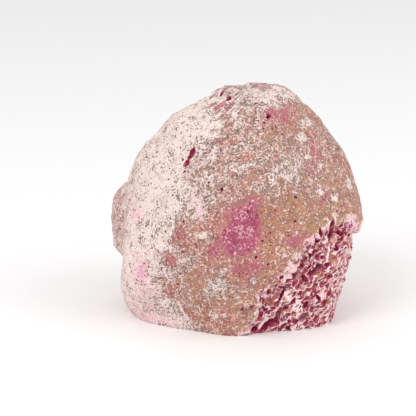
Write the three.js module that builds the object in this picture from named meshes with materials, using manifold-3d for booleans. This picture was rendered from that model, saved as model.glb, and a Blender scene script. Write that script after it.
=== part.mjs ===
// An agate nodule: one fist-sized stone that stands on a flat sawn foot. Its rind is whole but for one
// low corner, where it has broken away and laid bare the hollows that dissolved crystals left behind.
// Millimetres, +Z up, the front faces -Y. The origin is the middle of the foot, under the middle of the
// stone's own box.
import * as THREE from "three";
import { ConvexGeometry } from "three/addons/geometries/ConvexGeometry.js";
import { mergeVertices } from "three/addons/utils/BufferGeometryUtils.js";
import Module from "manifold-3d";

const wasm = await Module();
wasm.setup();

// ---- Driving dimensions ----------------------------------------------------------------------------

// Every radius is measured from the heart, a point inside the stone, above the middle of the foot.
const HEART = new THREE.Vector3(-0.05, 0, 39.5);

// The stone leans back. Shapes are given along its own side, rise and front axes, from the heart.
const LEAN = THREE.MathUtils.degToRad(15);
const SIDE = new THREE.Vector3(1, 0, 0);
const RISE = new THREE.Vector3(0, Math.sin(LEAN), Math.cos(LEAN));
const FRONT = new THREE.Vector3(0, -Math.cos(LEAN), Math.sin(LEAN));

// The girdle is the widest outline, in the plane of side and rise: [degrees from side to rise, radius].
const GIRDLE = [
  [0, 50.4],
  [22, 48.8],
  [42, 49.5],
  [57, 51.8],
  [72, 52],
  [90, 49.5],
  [105, 47.8],
  [122, 47.6],
  [140, 46],
  [156, 46.2],
  [170, 44.4],
  [187, 45.8],
  [200, 49],
  [212, 54.8],
  [222, 57],
  [240, 58],
  [270, 59],
  [298, 62],
  [312, 58.5],
  [324, 53],
  [338, 51],
  [350, 49.4],
];
const FRONT_DEPTH = 38;
const BACK_DEPTH = 39;
const ROUNDNESS = 2.35; // power of the section from girdle to front: 2 is an ellipse, more is boxier

// Lumps that stand out of the dome: centre and half-sizes along side, rise and front, and blend width.
const LUMPS = [
  { name: "shoulder", at: [-33.6, -2.5, -8.6], half: [17.2, 20.5, 18], blend: 1.2 },
  { name: "heel of the shoulder", at: [-42.5, -10.5, -8], half: [8, 5.6, 9.5], blend: 1 },
  { name: "crown", at: [10.5, 40.5, 1], half: [14, 12, 17], blend: 6 },
  { name: "crest", at: [-2.5, 43.5, 4], half: [8.5, 7.6, 9], blend: 2 },
];

// Broad flats worn across the dome: the way each faces along side, rise and front, and its distance.
const FLATS = [
  { name: "left flank", facing: [-0.72, 0.18, 0.67], distance: 40 },
  { name: "left toe", facing: [-0.38, -0.46, 0.8], distance: 39.3 },
  { name: "right toe", facing: [0.25, -0.52, 0.82], distance: 43.5 },
  { name: "right brow", facing: [0.6, 0.35, 0.72], distance: 42 },
  { name: "back", facing: [0.25, 0.1, -0.96], distance: 36.5 },
  { name: "back left", facing: [-0.62, 0.42, -0.66], distance: 40.5 },
  { name: "back right", facing: [0.7, -0.25, -0.67], distance: 42 },
];
const FLAT_BLEND = 7;

// Unevenness is a sum of plane waves, each shorter and lower than the one before.
const WAVES = 14;
const LONGEST_WAVE = 36;
const SHORTEST_WAVE = 9;
const WAVE_HEIGHT = 0.34;

// The break: the rind is gone past a plane across the lower right corner, which bays widen or narrow.
const BREAK_FACING = new THREE.Vector3(0.757, -0.632, 0.167).normalize();
const BREAK_DISTANCE = 35.6;
const BREAK_BAYS = [
  { at: [28, -12, 31], reach: 2.5, width: 8 },
  { at: [9, -31, 32], reach: 4.5, width: 8 },
  { at: [49, -1.5, 13], reach: -8.5, width: 10 },
];
const BREAK_RAGGED = 1.3; // how far the rind's edge wanders, and how often
const BREAK_RAGGED_PITCH = 7;
const RIND_THICKNESS = 2.4;
const RIND_EDGE = 1.6; // how far the rind takes to step down
const BREAK_RELIEF = 0.8; // how far the broken face rises and falls, and how often
const BREAK_RELIEF_PITCH = 5.5;

// Hollows in the break that have a place of their own: side and rise of the middle, as it looks from the
// viewpoint, length, width and depth, and the turn of the length from side towards rise in degrees.
const VIEWPOINT = 600; // in front of the heart
const BREAK_HOLLOWS = [
  { at: [12.2, -43.6], size: [10.2, 3.4, 4.4], turn: 34 },
  { at: [6.5, -45.8], size: [3.4, 2.6, 2.8], turn: 40 },
  { at: [17, -32.5], size: [8.8, 1.3, 2.6], turn: 66 },
  { at: [12.6, -34.9], size: [5.2, 3.8, 2.2], turn: -20 },
  { at: [10.7, -37.6], size: [4.6, 1.3, 2.2], turn: -51 },
  { at: [8.7, -40.3], size: [4, 3.2, 2.4], turn: 70 },
  { at: [26.7, -25.2], size: [4.6, 2.2, 2.8], turn: -54 },
  { at: [28.7, -16.5], size: [4, 1.7, 2.4], turn: 72 },
  { at: [31.7, -16.6], size: [2.6, 2.3, 2], turn: 10 },
  { at: [38.6, -17.8], size: [5.6, 4.6, 2.6], turn: -28 },
  { at: [35.8, -19.9], size: [3, 2.2, 2.8], turn: 30 },
  { at: [39.7, -13.4], size: [3.6, 2.8, 3], turn: 60 },
  { at: [42.8, -11.2], size: [5, 2.4, 2.2], turn: -8 },
  { at: [41, -7.2], size: [4.8, 2.4, 3], turn: -28 },
  { at: [37.2, -5], size: [6, 2, 2.8], turn: 74 },
  { at: [31, -10.2], size: [4.4, 2, 2.4], turn: 15 },
  { at: [26.2, -40.7], size: [4.8, 3.8, 2.2], turn: 40 },
  { at: [26.9, -36.2], size: [4.8, 2.3, 2.6], turn: 62 },
  { at: [32.2, -33.3], size: [3.8, 1.9, 2.2], turn: -50 },
  { at: [21.9, -34.5], size: [3.6, 1.8, 2.2], turn: 40 },
  { at: [31.5, -41.8], size: [5, 2.3, 2.8], turn: 42 },
  { at: [20.2, -45.6], size: [3, 2.2, 2.4], turn: 80 },
  { at: [32.2, -21], size: [4.6, 3.6, 3], turn: 45 },
  { at: [36.4, -31.6], size: [4, 2.6, 2.6], turn: 60 },
  { at: [36.8, -24.6], size: [3.8, 2, 2.4], turn: 60 },
  { at: [39, -34.4], size: [4.6, 1.4, 2.2], turn: 76 },
  { at: [17.2, -24.8], size: [2.8, 1.8, 1.6], turn: 30 },
  { at: [41.8, -9], size: [8, 1, 2.4], turn: 28 },
  { at: [33, -7.4], size: [4.8, 1.9, 2.4], turn: 108 },
  { at: [45.2, -12.4], size: [4.4, 2.4, 2.6], turn: 80 },
];

// Hollows and chips in the whole rind, given in the same way.
const RIND_HOLLOWS = [
  { at: [-18.5, 25.3], size: [5, 2.6, 1.9], turn: 68 },
  { at: [-19.6, 23], size: [3, 2, 1.4], turn: 40 },
  { at: [-20.7, 20.9], size: [3.8, 2.4, 1.7], turn: 55 },
  { at: [-6.4, 48.4], size: [3.2, 1.4, 1.6], turn: 60 },
  { at: [-3.6, 46.7], size: [3, 1.9, 2], turn: 60 },
  { at: [-7, 44.1], size: [6.8, 2.2, 1.1], turn: 32 },
  { at: [12, 39.7], size: [2.8, 2.2, 2], turn: 70 },
  { at: [-23.6, -6], size: [5.4, 3.8, 0.9], turn: -25 },
  { at: [-28.2, -17.4], size: [5.6, 4.4, 0.7], turn: -60 },
];

// Hollows strewn over the rest of the break.
const STREWN_TRIES = 420;
const STREWN_LENGTH = [3.6, 7];
const STREWN_WIDTH = [0.3, 0.6]; // as a share of the length
const STREWN_DEPTH = [0.35, 0.58]; // as a share of the length
const STREWN_TURN = [15, 80]; // they lean much the same way
const STREWN_INSET = 1; // from the edge of the rind
const STREWN_GAP = 0.3; // least distance between neighbours, as a share of both lengths

// ---- Small helpers ---------------------------------------------------------------------------------

const lerp = THREE.MathUtils.lerp;

// The lesser or greater of two lengths, rounded off where they come within blend of each other.
function softMin(a, b, blend) {
  const near = Math.max(blend - Math.abs(a - b), 0) / blend;
  return Math.min(a, b) - (near * near * blend) / 4;
}
const softMax = (a, b, blend) => -softMin(-a, -b, blend);

// A repeatable source of numbers, each between low and high.
function makeRandom(seed) {
  let state = seed;
  return (low, high) => {
    state = (Math.imul(state, 1664525) + 1013904223) >>> 0;
    return lerp(low, high, state / 2 ** 32);
  };
}

// One of count directions spread evenly over a ball.
const GOLDEN_TURN = Math.PI * (3 - Math.sqrt(5));
function spreadDirection(index, count) {
  const z = 1 - (2 * index + 1) / count;
  const r = Math.sqrt(1 - z * z);
  return new THREE.Vector3(r * Math.cos(index * GOLDEN_TURN), r * Math.sin(index * GOLDEN_TURN), z);
}

// An uneven quilt of bumps and dips, from -1 to 1, that repeats about once in a pitch.
function quilt(x, y, pitch) {
  const u = (2 * Math.PI * x) / pitch;
  const v = (2 * Math.PI * y) / pitch;
  return Math.sin(u + 1.3 * Math.sin(0.6 * v)) * Math.cos(0.9 * v + 0.9 * Math.sin(0.7 * u));
}

// ---- The surface, as a radius in each direction from the heart -------------------------------------

// Radius of the girdle at an angle, by a closed cubic through its points.
function girdleRadius(angle) {
  const degrees = (THREE.MathUtils.radToDeg(angle) + 360) % 360;
  const next = GIRDLE.findIndex(([at]) => at > degrees);
  const start = (next < 0 ? GIRDLE.length : next) - 1;
  const [a, b, c, d] = [-1, 0, 1, 2].map((step) => {
    const index = start + step;
    const lap = Math.floor(index / GIRDLE.length);
    const [at, radius] = GIRDLE[index - lap * GIRDLE.length];
    return { at: at + 360 * lap, radius };
  });
  const width = c.at - b.at;
  const t = (degrees - b.at) / width;
  const slopeIn = ((c.radius - a.radius) / (c.at - a.at)) * width;
  const slopeOut = ((d.radius - b.radius) / (d.at - b.at)) * width;
  const ease = t * t * (3 - 2 * t);
  return lerp(b.radius, c.radius, ease) + slopeIn * t * (1 - t) ** 2 - slopeOut * t * t * (1 - t);
}

// Far side of a lump along a ray from the heart, or 0 where the ray misses it.
function lumpRadius(lump, direction) {
  const half = new THREE.Vector3(...lump.half);
  const ray = direction.clone().divide(half);
  const centre = new THREE.Vector3(...lump.at).divide(half);
  const along = ray.dot(centre);
  const hit = along * along - ray.lengthSq() * (centre.lengthSq() - 1);
  return hit > 0 ? (along + Math.sqrt(hit)) / ray.lengthSq() : 0;
}

function flatRadius(flat, direction) {
  const toward = new THREE.Vector3(...flat.facing).normalize().dot(direction);
  return toward > 0.05 ? flat.distance / toward : Infinity;
}

function unevenness(point) {
  let height = 0;
  for (let i = 0; i < WAVES; i += 1) {
    const share = (SHORTEST_WAVE / LONGEST_WAVE) ** (i / (WAVES - 1));
    const turns = point.dot(spreadDirection(i, WAVES)) / (LONGEST_WAVE * share);
    height += WAVE_HEIGHT * share * Math.sin(2 * Math.PI * turns + 2.4 * i);
  }
  return height;
}

// The rind's radius, as if nothing had broken off.
function rindRadius(direction) {
  const across = Math.hypot(direction.x, direction.y);
  const depth = direction.z > 0 ? FRONT_DEPTH : BACK_DEPTH;
  const outline = girdleRadius(Math.atan2(direction.y, direction.x));
  const bulk = (across / outline) ** ROUNDNESS + (Math.abs(direction.z) / depth) ** ROUNDNESS;
  let radius = bulk ** (-1 / ROUNDNESS);
  for (const flat of FLATS) radius = softMin(radius, flatRadius(flat, direction), FLAT_BLEND);
  for (const lump of LUMPS) radius = softMax(radius, lumpRadius(lump, direction), lump.blend);
  return radius + unevenness(direction.clone().multiplyScalar(radius));
}

// How far a point of the rind lies inside the break; less than 0 is whole rind.
function insideBreak(point) {
  let inside = point.dot(BREAK_FACING) - BREAK_DISTANCE;
  for (const bay of BREAK_BAYS) {
    const away = point.distanceTo(new THREE.Vector3(...bay.at));
    inside += bay.reach * Math.exp(-((away / bay.width) ** 2));
  }
  return inside + BREAK_RAGGED * quilt(point.x, point.y, BREAK_RAGGED_PITCH);
}

// The radius with the rind gone in the break.
function surfaceRadius(direction) {
  const rind = rindRadius(direction);
  const point = direction.clone().multiplyScalar(rind);
  const gone = THREE.MathUtils.smoothstep(insideBreak(point), -RIND_EDGE / 2, RIND_EDGE / 2);
  const relief = quilt(point.x + 0.5 * point.z, point.y - 0.6 * point.z, BREAK_RELIEF_PITCH);
  return rind - gone * (RIND_THICKNESS + BREAK_RELIEF * relief);
}

// The point of the surface that hides a place in the plane of side and rise from the viewpoint.
function frontPoint(side, rise) {
  const place = new THREE.Vector3(side, rise, 0);
  const viewpoint = new THREE.Vector3(0, 0, VIEWPOINT);
  let [near, far] = [0, (2 * FRONT_DEPTH) / VIEWPOINT];
  while (far - near > 1e-5) {
    const middle = (near + far) / 2;
    const point = place.clone().lerp(viewpoint, middle);
    const inside = point.length() < surfaceRadius(point.clone().normalize());
    [near, far] = inside ? [middle, far] : [near, middle];
  }
  return place.lerp(viewpoint, near);
}

// The way the rind faces at a point, from how its radius changes a millimetre to each side.
function facingAt(point) {
  const excess = (x, y, z) => {
    const nearby = point.clone().add(new THREE.Vector3(x, y, z));
    return nearby.length() - rindRadius(nearby.clone().normalize());
  };
  const slope = [
    excess(1, 0, 0) - excess(-1, 0, 0),
    excess(0, 1, 0) - excess(0, -1, 0),
    excess(0, 0, 1) - excess(0, 0, -1),
  ];
  return new THREE.Vector3(...slope).normalize();
}

// From the stone's own axes to the part's.
function toPart(point) {
  return HEART.clone()
    .addScaledVector(SIDE, point.x)
    .addScaledVector(RISE, point.y)
    .addScaledVector(FRONT, point.z);
}

// ---- Hollows ---------------------------------------------------------------------------------------

const MOUTH_CORNERS = 5;
const FLOOR_CORNERS = 3;
const MOUTH_LIFT = 1.2; // how far the cutter stands out of the surface
const MOUTH_SCALE = 1.45; // the cutter narrows downwards, so it is wider than the hollow at the top
const FLOOR_SCALE = 0.5;
const AXIS_TILT = 0.3; // how far a hollow may lean, as a slope
const LEAST_FRONTING = 0.45; // where the rind turns further away than this, hollows stretch no more

// Along the rind, with the length that looks like 1 from the viewpoint at an angle from side to rise.
function seenAlong(angle, facing) {
  const [x, y] = [Math.cos(angle), Math.sin(angle)];
  const slope = (x * facing.x + y * facing.y) / Math.max(facing.z, LEAST_FRONTING);
  return new THREE.Vector3(x, y, -slope);
}

// Along the rind, with the length 1.
function along(angle, facing) {
  const run = new THREE.Vector3(Math.cos(angle), Math.sin(angle), 0);
  return run.addScaledVector(facing, -run.dot(facing)).normalize();
}

// The cast of the crystal that left a hollow: a flat-faced wedge with a five-cornered mouth. The size of
// a hollow that was placed as seen is measured as it looks from the viewpoint.
function hollowCast({ point, size: [length, width, depth], turn, seed, seen }) {
  const random = makeRandom(seed);
  const facing = facingAt(point);
  const run = seen ? seenAlong(turn, facing) : along(turn, facing);
  const across = seen ? seenAlong(turn + Math.PI / 2, facing) : facing.clone().cross(run);
  const lean = [random(-AXIS_TILT, AXIS_TILT), random(-AXIS_TILT, AXIS_TILT)];
  const corner = (angle, scale, height) => {
    const alongRun = (length / 2) * scale * Math.cos(angle) + lean[0] * height;
    const alongAcross = (width / 2) * scale * Math.sin(angle) + lean[1] * height;
    const place = point.clone().addScaledVector(run, alongRun).addScaledVector(across, alongAcross);
    return toPart(place.addScaledVector(facing, height));
  };
  const corners = [];
  for (let i = 0; i < MOUTH_CORNERS; i += 1) {
    const angle = (2 * Math.PI * (i + random(-0.25, 0.25))) / MOUTH_CORNERS;
    corners.push(corner(angle, MOUTH_SCALE * random(0.82, 1.12), MOUTH_LIFT));
  }
  const start = random(0, 2 * Math.PI);
  for (let i = 0; i < FLOOR_CORNERS; i += 1) {
    const angle = start + (2 * Math.PI * (i + random(-0.2, 0.2))) / FLOOR_CORNERS;
    corners.push(corner(angle, FLOOR_SCALE * random(0.6, 1.3), -depth * random(0.7, 1)));
  }
  return new ConvexGeometry(corners);
}

const placed = ({ at, size, turn }, index) => ({
  point: frontPoint(...at),
  size,
  turn: THREE.MathUtils.degToRad(turn),
  seed: 101 + index,
  seen: true,
});

// Hollows at random over the break, wherever those before them leave room.
function strewnHollows(taken) {
  const random = makeRandom(7);
  const hollows = [];
  for (let i = 0; i < STREWN_TRIES; i += 1) {
    const direction = new THREE.Vector3(random(-0.2, 1), random(-1, 0.1), random(-1, 1)).normalize();
    const length = random(...STREWN_LENGTH);
    const size = [length, length * random(...STREWN_WIDTH), length * random(...STREWN_DEPTH)];
    const turn = THREE.MathUtils.degToRad(random(...STREWN_TURN));
    const rind = direction.clone().multiplyScalar(rindRadius(direction));
    const point = direction.clone().multiplyScalar(surfaceRadius(direction));
    const clear = [...taken, ...hollows].every(
      (other) => other.point.distanceTo(point) > STREWN_GAP * (length + other.size[0]),
    );
    if (clear && insideBreak(rind) > STREWN_INSET && toPart(point).z > 0) {
      hollows.push({ point, size, turn, seed: 301 + hollows.length });
    }
  }
  return hollows;
}

// ---- Solids ----------------------------------------------------------------------------------------

// A closed three.js geometry as a solid that can be cut and joined.
function solidOf(geometry) {
  const bare = geometry.clone();
  for (const name of ["normal", "uv"]) bare.deleteAttribute(name);
  const merged = mergeVertices(bare, 1e-4);
  const vertProperties = merged.attributes.position.array;
  return new wasm.Manifold(new wasm.Mesh({ numProp: 3, vertProperties, triVerts: merged.index.array }));
}

function geometryOf(solid) {
  const mesh = solid.getMesh();
  const geometry = new THREE.BufferGeometry();
  geometry.setAttribute("position", new THREE.BufferAttribute(mesh.vertProperties, 3));
  geometry.setIndex(new THREE.BufferAttribute(mesh.triVerts, 1));
  geometry.computeVertexNormals();
  return geometry;
}

// The dome: a ball of even triangles, drawn together towards the break, then pushed out to the surface.
const BALL_DETAIL = 16;
const GATHER = new THREE.Vector3(0.62, -0.5, 0.6).setLength(0.42);

function dome() {
  const ball = new THREE.IcosahedronGeometry(1, BALL_DETAIL);
  const place = ball.attributes.position;
  const direction = new THREE.Vector3();
  for (let i = 0; i < place.count; i += 1) {
    direction.fromBufferAttribute(place, i).normalize().add(GATHER).normalize();
    const point = toPart(direction.multiplyScalar(surfaceRadius(direction)));
    place.setXYZ(i, point.x, point.y, point.z);
  }
  return solidOf(ball);
}

// Everything below the foot is sawn away.
const SAW_BLOCK = 200;
function belowFoot() {
  return solidOf(new THREE.BoxGeometry(SAW_BLOCK, SAW_BLOCK, SAW_BLOCK).translate(0, 0, -SAW_BLOCK / 2));
}

// The dome with every hollow cut out of it and the foot sawn flat. Crumbs that come loose fall away.
function stone() {
  const hollows = [...BREAK_HOLLOWS, ...RIND_HOLLOWS].map(placed);
  hollows.push(...strewnHollows(hollows));
  const casts = hollows.map((hollow) => solidOf(hollowCast(hollow)));
  const cut = [...casts, belowFoot()].reduce((solid, tool) => solid.subtract(tool), dome());
  return cut.decompose().reduce((largest, piece) => (piece.volume() > largest.volume() ? piece : largest));
}

// ---- The part --------------------------------------------------------------------------------------

const nodule = new THREE.Mesh(
  geometryOf(stone()),
  new THREE.MeshStandardMaterial({ color: 0xd0aca2, roughness: 0.85, metalness: 0 }),
);
nodule.name = "nodule";

const part = new THREE.Group();
part.add(nodule);

export default part;
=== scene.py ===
"""Dresses the agate nodule: its chalky rind, its broken corner full of hollows, and a plain studio."""

import logging
import math
from dataclasses import dataclass, field
from enum import Enum, IntEnum
from functools import cached_property
from typing import Any

import bmesh
import bpy
import numpy as np
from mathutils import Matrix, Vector, noise


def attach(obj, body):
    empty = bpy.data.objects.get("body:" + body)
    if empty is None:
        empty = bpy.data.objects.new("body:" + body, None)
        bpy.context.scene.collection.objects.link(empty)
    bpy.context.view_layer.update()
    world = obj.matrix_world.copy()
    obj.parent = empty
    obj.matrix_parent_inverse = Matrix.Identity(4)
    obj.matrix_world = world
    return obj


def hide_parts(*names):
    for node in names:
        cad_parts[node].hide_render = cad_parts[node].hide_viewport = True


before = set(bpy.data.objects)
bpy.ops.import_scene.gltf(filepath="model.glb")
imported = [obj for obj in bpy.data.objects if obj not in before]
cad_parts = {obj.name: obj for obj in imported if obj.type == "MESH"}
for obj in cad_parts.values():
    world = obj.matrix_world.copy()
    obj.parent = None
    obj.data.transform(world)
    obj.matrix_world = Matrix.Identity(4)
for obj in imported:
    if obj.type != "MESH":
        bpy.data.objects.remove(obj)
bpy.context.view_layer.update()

LOG = logging.getLogger("nodule")
MM = 0.001  # the form is worked out in millimetres, and every mesh is in metres
GRAZING = 0.05  # a direction this near to lying along a flat doesn't meet it
FAR = 1e6  # millimetres to a flat that is never met
CLUMP_SHIFT = 0.5  # how far a coat's clumps are moved from its grains, in metres
SPECKLE_ROUGHNESS = 0.62  # how strong the finer sizes are in noise on the stone
CLOSE = 1e-5  # as near as two shares of a line of sight need to come
SCATTER = 4375.8  # large enough to leave no pattern in what is left after the point

Array = np.ndarray
Point = tuple[float, float, float]
Span = tuple[float, float]
Tree = bpy.types.NodeTree


class Finish(IntEnum):
    """The three surfaces of the stone, by the slot that each has on its mesh."""

    RIND = 0
    LINING = 1
    SAWN = 2


class Mask(Enum):
    """What each painted weight on the mesh stands for."""

    # chalk dust, and also painted highlight and shade in a few patches and on the folds and creases
    CHALK = "chalk"
    HONEY = "honey"
    # rose stain, and also painted shade in the grooves of folds and creases and under the left lump
    ROSE = "rose"
    BLUSH = "blush"
    BROKEN = "broken"
    TONE = "tone"
    DEPTH = "depth"


class Stain(Enum):
    """The stains of the quartz in the break, each with its share of the tones from 0 to 1.

    A mixed hollow may have any tone. A worn one has lost its quartz, so its tone is below 0.
    """

    CRIMSON = (0.0, 0.26)
    WINE = (0.26, 0.48)
    ROSE = (0.48, 0.68)
    TAN = (0.68, 0.8)
    MAUVE = (0.8, 0.88)
    PALE = (0.88, 1.0)
    MIXED = (0.0, 1.0)
    WORN = (-1.0, -1.0)


class Seed(IntEnum):
    """Where each run of random numbers starts. The shapes and tones of the hollows count on from theirs."""

    LARGE_PLACES = 7
    SMALL_PLACES = 29
    PINHOLE_PLACES = 53
    OWN_SHAPES = 101
    LARGE_SHAPES = 301
    SMALL_SHAPES = 1001
    PINHOLE_SHAPES = 3001
    TONES = 7001


# ---- Numbers and noise -----------------------------------------------------------------------------


class Draw:
    """A repeatable source of numbers, the same one that the solid was made with."""

    def __init__(self, seed: int) -> None:
        """Starts the source.

        Args:
            seed: any whole number; each gives its own run of numbers.
        """
        self.state = seed

    def __call__(self, low: float, high: float) -> float:
        """Draws the next number.

        Args:
            low: the least that it may be.
            high: the greatest that it may be.

        Returns:
            The number.
        """
        self.state = (self.state * 1664525 + 1013904223) % 2**32
        return low + (high - low) * self.state / 2**32


def unit(vectors: Array) -> Array:
    """Scales each row to a length of 1."""
    return vectors / np.linalg.norm(vectors, axis=1)[:, None]


def turned(x: Array, y: Array, turn: float) -> tuple[Array, Array]:
    """Splits places into how far they lie along a turned line, in radians, and how far across it."""
    cosine, sine = math.cos(turn), math.sin(turn)
    return x * cosine + y * sine, y * cosine - x * sine


def smooth_step(low: float, high: float, value: Array) -> Array:
    """Eases from 0 at low to 1 at high."""
    t = np.clip((value - low) / (high - low), 0.0, 1.0)
    return t * t * (3.0 - 2.0 * t)


def soft_min(a: Array, b: Array, blend: float) -> Array:
    """The lesser of two lengths, rounded off where they come within blend of each other."""
    near = np.maximum(blend - np.abs(a - b), 0.0) / blend
    return np.minimum(a, b) - near * near * blend / 4.0


def soft_max(a: Array, b: Array, blend: float) -> Array:
    """The greater of two lengths, rounded off in the same way."""
    return -soft_min(-a, -b, blend)


def quilt(x: Array, y: Array, pitch: float) -> Array:
    """An uneven quilt of bumps and dips.

    Args:
        x: places along one axis.
        y: places along the other.
        pitch: about how far apart the bumps are.

    Returns:
        The height at each place, from -1 to 1.
    """
    u = 2.0 * math.pi * x / pitch
    v = 2.0 * math.pi * y / pitch
    return np.sin(u + 1.3 * np.sin(0.6 * v)) * np.cos(0.9 * v + 0.9 * np.sin(0.7 * u))


def cloud(points: Array, pitch: float, octaves: int = 3) -> Array:
    """Soft fractal noise at many points.

    Args:
        points: places in millimetres, one a row.
        pitch: the size of its largest features, in millimetres.
        octaves: how many sizes of feature it has, each half the last.

    Returns:
        A value for each point, about -1 to 1.
    """
    return np.array([noise.fractal(Vector(place), 1.0, 2.0, octaves) for place in points / pitch])


def scattered(points: Array) -> list[Array]:
    """Three random numbers from 0 to 1 for each point, the same ones for the same point."""
    return [np.modf(np.abs(np.sin(points @ way)) * SCATTER)[0] for way in np.eye(3) * 91.7 + 12.3]


# ---- Meshes and objects ----------------------------------------------------------------------------


def meshed(shape: bmesh.types.BMesh, name: str) -> bpy.types.Mesh:
    """Turns a shape into a mesh and frees the shape.

    Args:
        shape: the shape, which can't be used again.
        name: the mesh's name.

    Returns:
        The mesh.
    """
    mesh = bpy.data.meshes.new(name)
    shape.to_mesh(mesh)
    shape.free()
    return mesh


def placed(name: str, data: Any) -> bpy.types.Object:
    """Adds an object to the scene.

    Args:
        name: the object's name.
        data: its mesh, light or camera.

    Returns:
        The object.
    """
    thing = bpy.data.objects.new(name, data)
    bpy.context.scene.collection.objects.link(thing)
    return thing


def column(items: Any, name: str, kind: type, width: int = 1) -> Array:
    """Reads one property of every item in a mesh.

    Args:
        items: the mesh's points, faces or corners, or the values of an attribute.
        name: the property's name.
        kind: the type of its numbers.
        width: how many numbers each item has.

    Returns:
        The numbers, in a row.
    """
    values = np.empty(len(items) * width, dtype=kind)
    items.foreach_get(name, values)
    return values


# ---- The form --------------------------------------------------------------------------------------


@dataclass(frozen=True)
class Lump:
    """An ellipsoid that stands out of the dome, along side, rise and front from the heart."""

    at: Point
    half: Point
    blend: float


@dataclass(frozen=True)
class Flat:
    """A broad flat worn across the dome: the way it faces and its distance from the heart."""

    facing: Point
    distance: float


@dataclass(frozen=True)
class Bay:
    """A place where the edge of the break is moved, by reach, over about a width."""

    at: Point
    reach: float
    width: float


@dataclass(frozen=True)
class Hollow:
    """A hollow as it looks from the viewpoint: its middle, length, width and depth, turn and stain."""

    at: Span
    size: Point
    turn: float
    stain: Stain = Stain.CRIMSON


@dataclass(frozen=True)
class StoneForm:
    """The stone's surface, as a radius in each direction from its heart.

    Points and directions are along the stone's own side, rise and front axes, in millimetres. The stone
    leans back, so rise and front are turned from upright by the lean.
    """

    heart: Point = (-0.05, 0.0, 39.5)
    lean: float = math.radians(15.0)
    girdle: tuple[Span, ...] = (
        (0, 50.4), (22, 48.8), (42, 49.5), (57, 51.8), (72, 52.0), (90, 49.5), (105, 47.8), (122, 47.6),
        (140, 46.0), (156, 46.2), (170, 44.4), (187, 45.8), (200, 49.0), (212, 54.8), (222, 57.0),
        (240, 58.0), (270, 59.0), (298, 62.0), (312, 58.5), (324, 53.0), (338, 51.0), (350, 49.4),
    )
    front_depth: float = 38.0
    back_depth: float = 39.0
    roundness: float = 2.35
    lumps: tuple[Lump, ...] = (
        Lump((-33.6, -2.5, -8.6), (17.2, 20.5, 18.0), 1.2),
        Lump((-42.5, -10.5, -8.0), (8.0, 5.6, 9.5), 1.0),
        Lump((10.5, 40.5, 1.0), (14.0, 12.0, 17.0), 6.0),
        Lump((-2.5, 43.5, 4.0), (8.5, 7.6, 9.0), 2.0),
    )
    flats: tuple[Flat, ...] = (
        Flat((-0.72, 0.18, 0.67), 40.0),
        Flat((-0.38, -0.46, 0.8), 39.3),
        Flat((0.25, -0.52, 0.82), 43.5),
        Flat((0.6, 0.35, 0.72), 42.0),
        Flat((0.25, 0.1, -0.96), 36.5),
        Flat((-0.62, 0.42, -0.66), 40.5),
        Flat((0.7, -0.25, -0.67), 42.0),
    )
    flat_blend: float = 7.0
    waves: int = 14
    longest_wave: float = 36.0
    shortest_wave: float = 9.0
    wave_height: float = 0.34
    wave_shift: float = 2.4
    break_facing: Point = (0.757, -0.632, 0.167)
    break_distance: float = 35.6
    break_bays: tuple[Bay, ...] = (
        Bay((28.0, -12.0, 31.0), 2.5, 8.0),
        Bay((9.0, -31.0, 32.0), 4.5, 8.0),
        Bay((49.0, -1.5, 13.0), -8.5, 10.0),
    )
    break_ragged: float = 1.3
    break_ragged_pitch: float = 7.0
    rind_thickness: float = 2.4
    rind_edge: float = 1.6
    break_relief: float = 0.8
    break_relief_pitch: float = 5.5
    viewpoint: float = 600.0

    @cached_property
    def axes(self) -> Array:
        """The side, rise and front axes, one a row, in the part's own frame."""
        sine, cosine = math.sin(self.lean), math.cos(self.lean)
        return np.array([[1.0, 0.0, 0.0], [0.0, sine, cosine], [0.0, -cosine, sine]])

    def to_part(self, points: Array) -> Array:
        """Turns points along the stone's axes into places in the part, in millimetres."""
        return points @ self.axes + np.array(self.heart)

    def from_part(self, places: Array) -> Array:
        """Turns places in the part, in millimetres, into points along the stone's axes."""
        return (places - np.array(self.heart)) @ self.axes.T

    def girdle_radius(self, angles: Array) -> Array:
        """The radius of the widest outline, by a closed cubic through its points.

        Args:
            angles: angles from side towards rise, in radians.

        Returns:
            The radius at each angle.
        """
        at = np.array([point[0] for point in self.girdle], dtype=float)
        radius = np.array([point[1] for point in self.girdle])
        count = len(self.girdle)
        degrees = np.degrees(angles) % 360.0
        start = np.searchsorted(at, degrees, side="right") - 1
        steps = [start + step for step in (-1, 0, 1, 2)]
        a, b, c, d = [at[step % count] + 360.0 * (step // count) for step in steps]
        ra, rb, rc, rd = [radius[step % count] for step in steps]
        width = c - b
        t = (degrees - b) / width
        slope_in = (rc - ra) / (c - a) * width
        slope_out = (rd - rb) / (d - b) * width
        ease = t * t * (3.0 - 2.0 * t)
        return rb + (rc - rb) * ease + slope_in * t * (1.0 - t) ** 2 - slope_out * t * t * (1.0 - t)

    def lump_radius(self, lump: Lump, directions: Array) -> Array:
        """How far off a lump's far side is.

        Args:
            lump: the lump.
            directions: unit directions from the heart, one a row.

        Returns:
            The radius in each direction, or 0 where the lump isn't met.
        """
        rays = directions / np.array(lump.half)
        centre = np.array(lump.at) / np.array(lump.half)
        along = rays @ centre
        length = (rays * rays).sum(axis=1)
        hit = along * along - length * (centre @ centre - 1.0)
        return np.where(hit > 0.0, (along + np.sqrt(np.maximum(hit, 0.0))) / length, 0.0)

    def unevenness(self, points: Array) -> Array:
        """The rise and fall of the rind, a sum of waves that each run their own way.

        Args:
            points: places on the stone, one a row.

        Returns:
            The height at each place, in millimetres.
        """
        height = np.zeros(len(points))
        golden_turn = math.pi * (3.0 - math.sqrt(5.0))
        for i in range(self.waves):
            z = 1.0 - (2 * i + 1) / self.waves
            r = math.sqrt(1.0 - z * z)
            way = np.array([r * math.cos(i * golden_turn), r * math.sin(i * golden_turn), z])
            share = (self.shortest_wave / self.longest_wave) ** (i / (self.waves - 1))
            turns = points @ way / (self.longest_wave * share)
            height += self.wave_height * share * np.sin(2.0 * math.pi * turns + self.wave_shift * i)
        return height

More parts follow.
